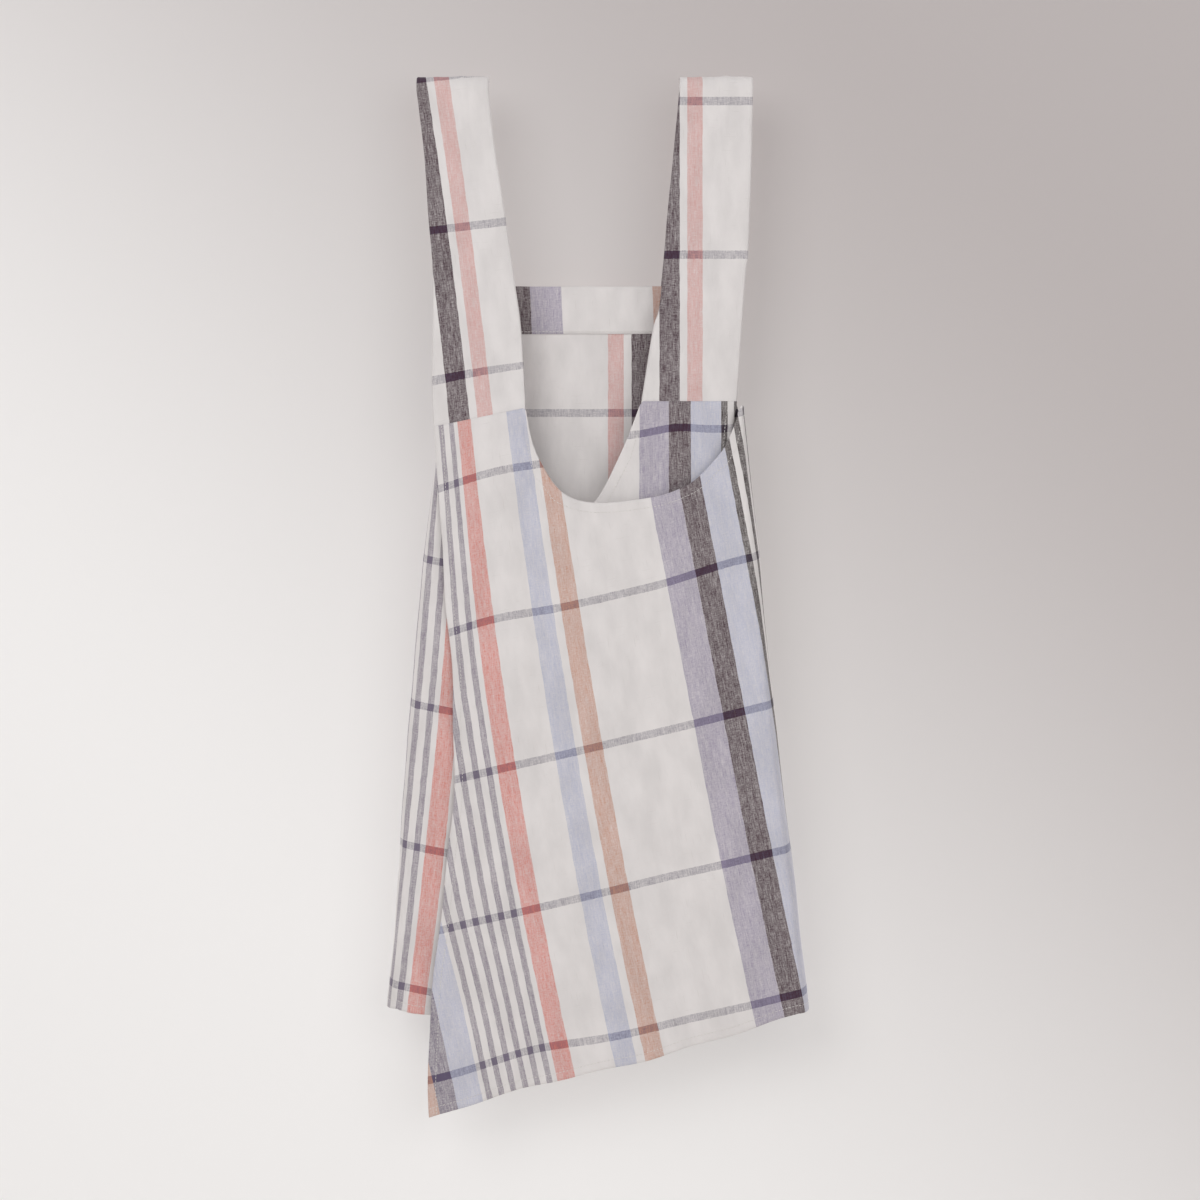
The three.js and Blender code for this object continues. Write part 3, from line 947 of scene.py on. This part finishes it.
def front_panel():
    uv = panel_cloth(panel)
    z = panel[:, 0, 2]
    band_foot = int(np.argmax(z < BIB_TOP * DOWN - BIB_BAND - 1))
    left_end = int(np.argmax(z < left_fold[0, 1]))
    right_end = int(np.argmax(z < right_fold[0, 1]))
    cloth = hang(cloth_sheet("front_panel_cloth", panel, uv), "front_panel")
    left = band_piece("left_armhole_band", panel, "first", BAND, -1, uv, first=band_foot, last=left_end)
    hang(left, "left_armhole_facing")
    right = band_piece("right_armhole_band", panel, "last", BAND, -1, uv, first=band_foot, last=right_end)
    hang(right, "right_armhole_facing")
    hem = hang(band_piece("front_panel_hem", panel, "foot", HEM, -1, uv))
    thread = hang(stitches("front_panel_stitching", [
        stitch_row(panel, "top", BIB_BAND - 2, 1),
        stitch_row(panel, "foot", HEM - 1, 1),
        stitch_row(panel, "first", BAND - 1, 1, last=left_end),
        stitch_row(panel, "last", BAND - 1, 1, last=right_end),
    ]), material=THREAD_MATERIAL)


def bib_band():
    """The deep band inside the bib's top edge. The strap ends are caught behind it."""
    rows = int(np.argmax(panel[:, 0, 2] < BIB_TOP * DOWN - BIB_BAND)) + 1
    grid = panel[:rows].copy()
    # Over the strap ends the band stands further out, and its top edge rolls up a little.
    over_strap = ease((np.abs(grid[..., 0]) / ACROSS - 52) / 12)
    grid[..., 1] -= 1.0 + 2.3 * over_strap * ease((grid[..., 2] - grid[-1:, :, 2]) / 30)
    grid[..., 2] += 0.6 * ease((grid[..., 2] - BIB_TOP * DOWN + 6) / 6)
    sheet = cloth_sheet("bib_inside_band", grid[:, ::-1], band_cloth(grid)[:, ::-1])
    cloth = hang(sheet, "bib_band")
    row = stitch_row(grid, "foot", 2.0, -1)
    thread = hang(stitches("bib_band_stitching", [row]), material=THREAD_MATERIAL)


def straps():
    """A strap's front leg lies behind its wing's top edge, with its foot pressed thin."""
    lap = CLOTH / 2 + STRAP * 0.3 + 0.2
    left_front = strap_front("left_strap_front_leg", LEFT_LEG, OUTER_Y + lap, left_strap_cloth)
    dress(left_front, LINEN, ["left_strap_front"])
    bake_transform(left_front)
    left_back = strap_back("left_strap_back_leg", -1, LEFT_LEG, left_strap_cloth)
    hang(left_back, "left_strap_back")
    right_front = strap_front("right_strap_front_leg", RIGHT_LEG, UNDER_Y + lap, right_strap_cloth)
    hang(right_front, "right_strap_front")
    right_back = strap_back("right_strap_back_leg", 1, RIGHT_LEG, right_strap_cloth)
    hang(right_back, "right_strap_back")


outer_wing()
under_wing()
front_panel()
bib_band()
straps()

# ---- studio --------------------------------------------------------------------------------

# Sizes are in metres from here on.
FLOOR_Z = -1.5
FLOOR_HALF = 4
WALL_Y = 0.055
WALL_HALF = 1.6
WALL_TOP = 0.9
CAMERA_AWAY = 2.715     # from the outer wing to the camera
scene = bpy.context.scene


def backdrop_material():
    """Warm grey, with painted light that makes it paler towards the lower left and darker towards the top
    right. It is clear from behind, where the apron is seen too.
    """
    g = Graph("backdrop")
    place = g.nodes.new("ShaderNodeNewGeometry")
    split = g.nodes.new("ShaderNodeSeparateXYZ")
    g.put(split.inputs[0], place.outputs["Position"])
    # Painted light falloff: the colour and the glow below get paler towards the lower left and darker
    # towards the top right.
    slope = g.math("MULTIPLY_ADD", split.outputs["X"], 0.9, split.outputs["Z"])
    shade = g.range(slope, -1.15, 0.35)
    # Half of its light is its own, which keeps the shadows on it faint.
    g.put(g.shader.inputs["Base Color"], g.blend(shade, (0.54, 0.53, 0.52), (0.30, 0.275, 0.27)))
    g.put(g.shader.inputs["Emission Color"], g.blend(shade, (0.36, 0.35, 0.345), (0.205, 0.187, 0.183)))
    g.shader.inputs["Emission Strength"].default_value = 1.0
    g.shader.inputs["Roughness"].default_value = 0.95
    clear = g.nodes.new("ShaderNodeBsdfTransparent")
    choose = g.nodes.new("ShaderNodeMixShader")
    g.put(choose.inputs[0], place.outputs["Backfacing"])
    g.put(choose.inputs[1], g.shader.outputs["BSDF"])
    g.put(choose.inputs[2], clear.outputs["BSDF"])
    g.put(g.nodes["Material Output"].inputs["Surface"], choose.outputs[0])
    return g.material


def floor_material():
    g = Graph("floor")
    g.shader.inputs["Base Color"].default_value = (0.72, 0.70, 0.68, 1.0)
    g.shader.inputs["Roughness"].default_value = 0.9
    return g.material


def flat_stage(name, corners, material):
    mesh = bpy.data.meshes.new(name)
    mesh.from_pydata(corners, [], [(0, 1, 2, 3)])
    mesh.materials.append(material)
    obj = bpy.data.objects.new(name, mesh)
    scene.collection.objects.link(obj)
    return obj


wall = flat_stage("backdrop", [
    (-WALL_HALF, WALL_Y, FLOOR_Z),
    (WALL_HALF, WALL_Y, FLOOR_Z),
    (WALL_HALF, WALL_Y, WALL_TOP),
    (-WALL_HALF, WALL_Y, WALL_TOP),
], backdrop_material())
wall.visible_shadow = False
flat_stage("floor", [
    (-FLOOR_HALF, -FLOOR_HALF, FLOOR_Z),
    (FLOOR_HALF, -FLOOR_HALF, FLOOR_Z),
    (FLOOR_HALF, FLOOR_HALF, FLOOR_Z),
    (-FLOOR_HALF, FLOOR_HALF, FLOOR_Z),
], floor_material())


def softbox(name, place, aim, size, power):
    light = bpy.data.lights.new(name, "AREA")
    light.shape = "SQUARE"
    light.size = size
    light.energy = power
    obj = bpy.data.objects.new(name, light)
    obj.location = place
    obj.rotation_euler = (Vector(aim) - Vector(place)).to_track_quat("-Z", "Y").to_euler()
    scene.collection.objects.link(obj)


APRON_MIDDLE = (0.0, 0.0, -0.5)
softbox("key", (-1.3, -2.3, 0.8), APRON_MIDDLE, 1.7, 29)
softbox("fill", (1.4, -2.7, 0.1), APRON_MIDDLE, 2.2, 22)
softbox("back_key", (1.4, 2.4, 1.1), APRON_MIDDLE, 1.8, 52)
softbox("back_fill", (-1.9, 2.2, -0.3), APRON_MIDDLE, 2.2, 22)

world = bpy.data.worlds.new("studio")
world.use_nodes = True
world.node_tree.nodes["Background"].inputs["Color"].default_value = (0.92, 0.92, 0.94, 1.0)
world.node_tree.nodes["Background"].inputs["Strength"].default_value = 0.49
scene.world = world
scene.view_settings.view_transform = "Standard"

camera = bpy.data.objects.new("camera", bpy.data.cameras.new("camera"))
camera.data.lens = 85
camera.data.sensor_width = 36
camera.location = (0.0153, OUTER_Y * MM - CAMERA_AWAY, -0.503)
camera.rotation_euler = (math.pi / 2, 0, 0)
scene.collection.objects.link(camera)
scene.camera = camera
